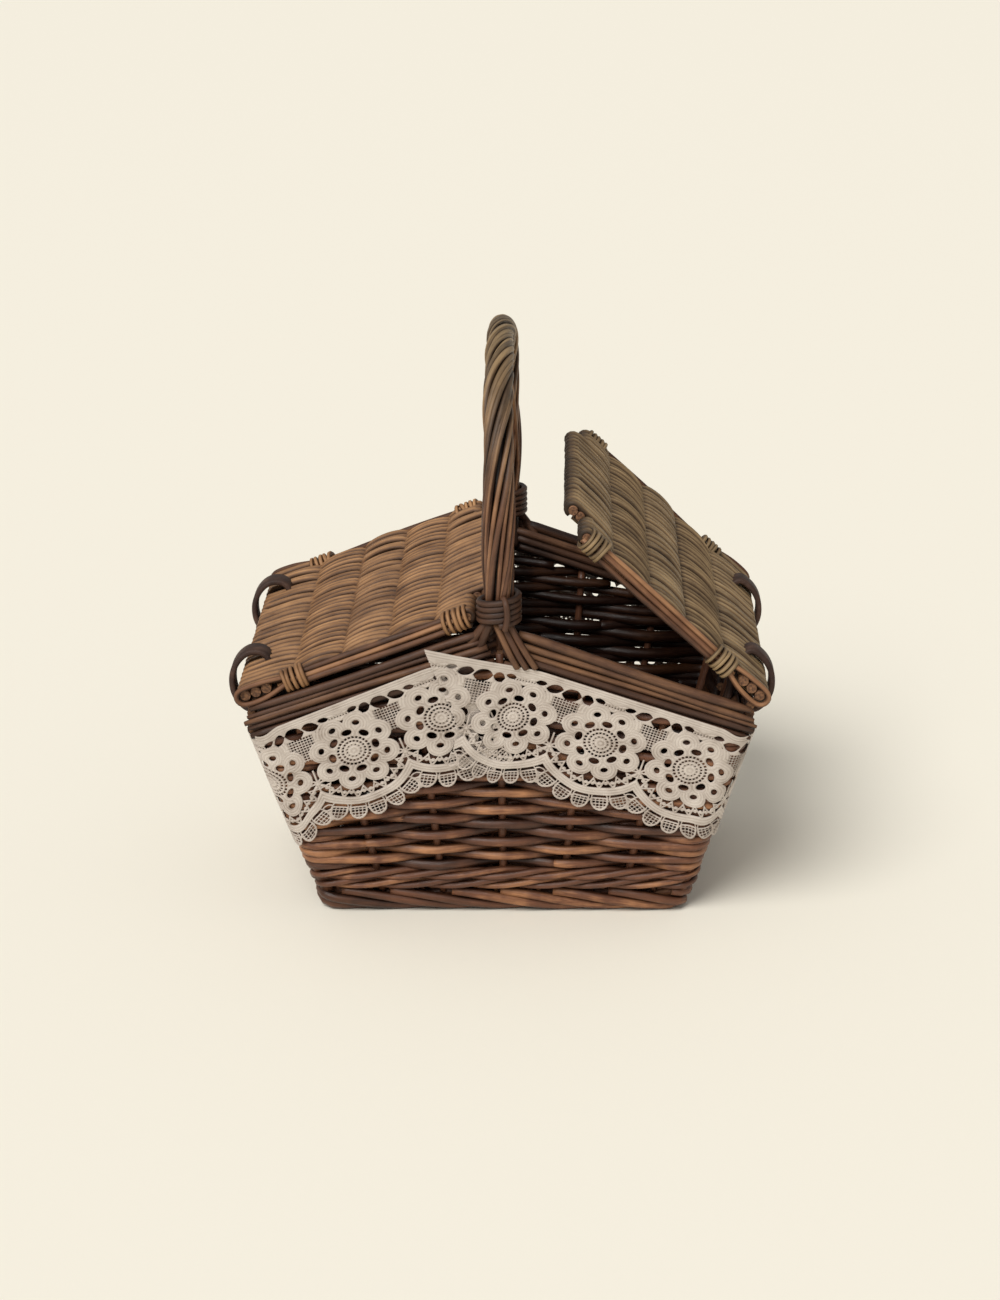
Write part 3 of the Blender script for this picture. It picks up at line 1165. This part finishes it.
# side 1 runs from the front round the right end to the back, side -1 round the left end;
# kind and q are a station's wall and its place along it, d how far down from the top edge
def laceStrip(name, side):
    stations = []
    half = basket["topX"]
    depth = basket["topY"]
    start = lace["endX"] if side > 0 else lace["leftEnd"]
    for x in np.arange(start, half - basket["round"] + 0.01, 1.0):
        stations.append(("front", x))
    for a in np.linspace(0, 90, 13)[1:-1]:
        stations.append(("frontCorner", a))
    for y in np.arange(-depth + basket["round"], depth - basket["round"] + 0.01, 1.0):
        stations.append(("side", y))
    for a in np.linspace(0, 90, 13)[1:-1]:
        stations.append(("backCorner", a))
    for x in np.arange(half - basket["round"], -0.5 if side > 0 else -9.5, -1.0):
        stations.append(("back", x))
    downs = np.linspace(-0.4, lace["height"] + 0.6, 42)
    wallLean = math.atan2(half - basket["groundX"], basket["corner"])

    def longWall(x, z, off, front):
        s = min(z / topLine(x / half), 1.05)
        for _ in range(2):
            s = min(z / topLine(x / lerp(basket["groundX"], half, s)), 1.08)
        y = lerp(basket["groundY"], depth, s) + off
        return (x, -y if front else y, z)

    grid = np.zeros((len(stations), len(downs), 3))
    ease = lambda t: (lambda c: c * c * (3 - 2 * c))(min(max(t, 0), 1))
    for i, (kind, q) in enumerate(stations):
        for j, d in enumerate(downs):
            if kind in ("front", "back"):
                front = kind == "front"
                lean = lerp(lace["leanPeak"], lace["leanCorner"], max(q, 0) / half)
                zTop = topLine(q / half) if q > 0 else basket["peak"] + 0.33 * min(-q, 3)
                if side > 0 and front:  # runs straight on past the peak
                    lean = lerp(13.0, lean, ease((q + 10) / 40))
                    if q < 18:
                        zTop = topLine(18 / half) + 0.24 * (18 - q)
                elif front:  # climbs a little faster than the rim
                    lean += 3.4 * (1 - q / half)
                    zTop += lace["rise"] * (half - q) - 0.15 * max(0, 31 - q)
                stand = 0.0
                if side > 0 and front:
                    stand = 2.1 * ease((14 - q) / 20) + 1.0 * ease((-16 - q) / 15) * ease((14 - d) / 14)
                if not front and side > 0:
                    stand = 1.7 * ease((14 - q) / 14)
                lean = math.radians(lean)
                x = q - math.sin(lean) * d
                z = zTop - math.cos(lean) * math.cos(wallLean * 0.9) * d
                px, py, pz = longWall(x, z, stand, front)
                grid[i, j] = (side * px, py, pz)
            else:
                z = basket["corner"] - math.cos(wallLean) * d
                s = z / basket["corner"]
                hx = lerp(basket["groundX"], half, s)
                hy = lerp(basket["groundY"], depth, s)
                r = basket["round"]
                if kind == "side":
                    y = q / (depth - r) * (hy - r)
                    grid[i, j] = (side * hx, y, z)
                else:
                    a = math.radians(q)
                    if kind == "frontCorner":
                        px, py = hx - r + r * math.sin(a), -(hy - r) - r * math.cos(a)
                    else:
                        px, py = hx - r + r * math.cos(a), (hy - r) + r * math.sin(a)
                    grid[i, j] = (side * px, py, z)
    kernel = np.array([1, 2, 3, 4, 3, 2, 1.0])
    kernel /= kernel.sum()
    padded = np.pad(grid, ((3, 3), (0, 0), (0, 0)), mode="reflect", reflect_type="odd")
    grid = sum(kernel[k] * padded[k:k + len(grid)] for k in range(7))
    walk = np.concatenate([[0], np.cumsum(np.linalg.norm(np.diff(grid[:, 0], axis=0), axis=1))])
    normal = np.cross(np.gradient(grid, axis=1), np.gradient(grid, axis=0)) * side
    normal /= np.linalg.norm(normal, axis=2)[:, :, None]
    if normal[10, 5, 1] > 0:
        normal = -normal

    tile, faces = laceTile()
    tile = np.array(tile)
    total = walk[-1]
    width = lace["repeat"]
    firstCentre = lace["firstRight"] if side > 0 else lace["firstLeft"]
    tiles = range(-1, int((total - firstCentre) / width) + 2)
    allVerts, allFaces = [], []
    for t in tiles:
        offset = firstCentre + t * width
        base = len(allVerts)
        allVerts += [(a + offset, b, c, d) for a, b, c, d in tile]
        allFaces += [[base + k for k in f] for f in faces]
    points = np.array(allVerts)
    keepVertex = (points[:, 0] >= 0) & (points[:, 0] <= total)
    if side > 0:  # the cut end runs across at a slant
        keepVertex &= points[:, 0] >= np.minimum(lace["slant"] * points[:, 1], lace["slantMost"])
    allFaces = [f for f in allFaces if all(keepVertex[k] for k in f)]
    flatMesh = bpy.data.meshes.new(name)
    flatMesh.from_pydata([(a, b, c) for a, b, c, d in allVerts], [], allFaces)
    hollow = flatMesh.attributes.new("hollow", "FLOAT", "POINT")
    hollow.data.foreach_set("value", points[:, 3].astype(np.float32))
    piece = bpy.data.objects.new(name, flatMesh)
    bpy.context.scene.collection.objects.link(piece)
    editAll(piece)
    bpy.ops.mesh.remove_doubles(threshold=0.002)
    bpy.ops.mesh.delete_loose()
    bpy.ops.object.mode_set(mode="OBJECT")
    triangles = sum(len(p.vertices) - 2 for p in flatMesh.polygons)
    print("lace", name, "length", round(total), "triangles", triangles)
    mesh = piece.data
    flat = np.zeros(len(mesh.vertices) * 3, np.float32)
    mesh.vertices.foreach_get("co", flat)
    flat = flat.reshape(-1, 3)
    d = np.clip(flat[:, 0], 0, total - 1e-4)
    a = np.interp(d, walk, np.arange(len(walk)))
    b = np.clip((flat[:, 1] - downs[0]) / (downs[-1] - downs[0]) * (len(downs) - 1), 0, len(downs) - 1.001)
    a = np.clip(a, 0, len(walk) - 1.001)
    ia, ib = a.astype(int), b.astype(int)
    fa, fb = (a - ia)[:, None], (b - ib)[:, None]
    sample = lambda g: (g[ia, ib] * (1 - fa) * (1 - fb) + g[ia + 1, ib] * fa * (1 - fb)
                        + g[ia, ib + 1] * (1 - fa) * fb + g[ia + 1, ib + 1] * fa * fb)
    place, out = sample(grid), sample(normal)
    ripples = (0.35 * np.sin(d * 0.16 + 1.0) * np.clip(flat[:, 1] / 50, 0, 1)
               + 0.25 * np.sin(d * 0.37 + flat[:, 1] * 0.06) * np.clip(flat[:, 1] / 40, 0, 1))
    lift = lace["stand"] + 0.35 + ripples + flat[:, 2] * lace["thick"]
    final = (place + out * lift[:, None]) * 0.001
    mesh.vertices.foreach_set("co", final.astype(np.float32).ravel())
    uvLayer = mesh.uv_layers.new(name="UVMap")
    loops = np.zeros(len(mesh.loops), np.int32)
    mesh.loops.foreach_get("vertex_index", loops)
    uvLayer.data.foreach_set("uv", (flat[loops, :2] * 0.001).astype(np.float32).ravel())
    mesh.polygons.foreach_set("use_smooth", [True] * len(mesh.polygons))
    mesh.update()
    if triangles > lace["most"]:
        fewer = piece.modifiers.new("fewer", "DECIMATE")
        fewer.ratio = lace["most"] / triangles
        bpy.ops.object.modifier_apply(modifier="fewer")
    mesh = piece.data
    outward = sum(p.normal.dot(p.center) for p in list(mesh.polygons)[:400])
    if outward < 0:
        mesh.flip_normals()
    mesh.materials.append(finish["lace"])
    area = sum(p.area for p in mesh.polygons)
    print("lace area", round(area, 5), "of", round(total * lace["height"] * 1e-6, 5))
    return piece, total * 0.001, area


print("walls")
wallWeave, posts = makeWalls()
waling, footRods, floorWeave = makeBottom()
rim = makeRim()
print("handle")
hoop, bindings, rodEnds = makeHandle()
for piece in (wallWeave, posts, waling, footRods, floorWeave, rim, hoop, bindings, rodEnds):
    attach(piece, "basket")
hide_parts("front_wall_weave", "back_wall_weave", "left_wall_weave", "right_wall_weave")
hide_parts("wall_stakes", "front_left_corner_post", "front_right_corner_post",
            "back_left_corner_post", "back_right_corner_post")
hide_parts("waling_band")
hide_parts("foot_border")
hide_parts("woven_floor")
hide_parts("front_left_rim_rods", "front_right_rim_rods", "back_left_rim_rods",
            "back_right_rim_rods", "left_end_rim_rods", "right_end_rim_rods")
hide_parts("handle_strand_1", "handle_strand_2", "handle_strand_3", "handle_strand_4")
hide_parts("front_handle_binding", "back_handle_binding")
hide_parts("front_handle_foot", "back_handle_foot")

print("lids")
for side, material in (("left", finish["leftLid"]), ("right", finish["rightLid"])):
    panel, bars, border, ties = makeLid(side, material)
    for piece, slotName in ((panel, "willow_%s_lid" % side), (bars, "willow_rim"),
                            (border, "willow_%s_lid" % side), (ties, "willow_binding")):
        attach(piece, side + "_lid")
    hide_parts(side + "_lid_weave")
    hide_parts(*[side + "_lid_outer_rod_%d" % i for i in (1, 2, 3)], side + "_lid_inner_rod")
    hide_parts(side + "_lid_front_edge_rod", side + "_lid_back_edge_rod")
    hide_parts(*[side + "_lid_%s_%s_binding" % (f, e) for f in ("front", "back")
                  for e in ("outer", "inner")])
    for face, sy in (("front", -1), ("back", 1)):
        loop = makeLoop("%s_%s_strap" % (side, face), side, sy)
        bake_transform(loop)
        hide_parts("%s_%s_loop" % (side, face))

print("lace")
for name, side in (("lace_right", 1), ("lace_left", -1)):
    piece, length, area = laceStrip(name, side)
    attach(piece, "basket")
    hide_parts("lace_band")

print("floor, light and camera")
studio = {"floor": 40, "floorColour": srgb(246, 241, 227), "white": (1, 0.985, 0.96), "sky": 0.42,
          "sun": 2.45, "softness": 35, "sunTowards": (0.45, 0.75, -1.0), "sensor": 36}
deselectAll()
bpy.ops.mesh.primitive_plane_add(size=studio["floor"], location=(0, 0, 0))
ground = bpy.context.object
ground.name = "ground"
groundMaterial, _, groundShader = newMaterial("pale floor")
groundShader.inputs["Base Color"].default_value = (*studio["floorColour"], 1)
groundShader.inputs["Roughness"].default_value = 0.9
ground.data.materials.append(groundMaterial)

world = bpy.context.scene.world or bpy.data.worlds.new("studio")
bpy.context.scene.world = world
world.use_nodes = True
background = world.node_tree.nodes["Background"]
background.inputs["Color"].default_value = (*studio["white"], 1)
background.inputs["Strength"].default_value = studio["sky"]

sunData = bpy.data.lights.new("window", "SUN")
sunData.energy = studio["sun"]
sunData.angle = math.radians(studio["softness"])
sunData.color = studio["white"]
sun = bpy.data.objects.new("window", sunData)
sun.rotation_euler = Vector(studio["sunTowards"]).to_track_quat("-Z", "Y").to_euler()
bpy.context.scene.collection.objects.link(sun)

view = {"azimuth": 1.506, "elevation": 21.386, "roll": -0.548, "distance": 1.19387,
        "target": (0.00114, 0, 0.09874), "lens": 74.554, "shiftX": -0.00523, "shiftY": 0.00643}
azimuth, elevation, roll = (math.radians(view[k]) for k in ("azimuth", "elevation", "roll"))
back = Vector((math.sin(azimuth) * math.cos(elevation), -math.cos(azimuth) * math.cos(elevation),
               math.sin(elevation)))
right = Vector((math.cos(azimuth), math.sin(azimuth), 0))
up = back.cross(right)
rolledRight = right * math.cos(roll) + up * math.sin(roll)
rolledUp = up * math.cos(roll) - right * math.sin(roll)
cameraData = bpy.data.cameras.new("camera")
cameraData.lens = view["lens"]
cameraData.sensor_width = studio["sensor"]
cameraData.shift_x = view["shiftX"]
cameraData.shift_y = view["shiftY"]
camera = bpy.data.objects.new("camera", cameraData)
camera.matrix_world = Matrix((
    (rolledRight.x, rolledUp.x, back.x, view["target"][0] + back.x * view["distance"]),
    (rolledRight.y, rolledUp.y, back.y, view["target"][1] + back.y * view["distance"]),
    (rolledRight.z, rolledUp.z, back.z, view["target"][2] + back.z * view["distance"]),
    (0, 0, 0, 1)))
bpy.context.scene.collection.objects.link(camera)
bpy.context.scene.camera = camera
bpy.context.scene.view_settings.view_transform = "Standard"
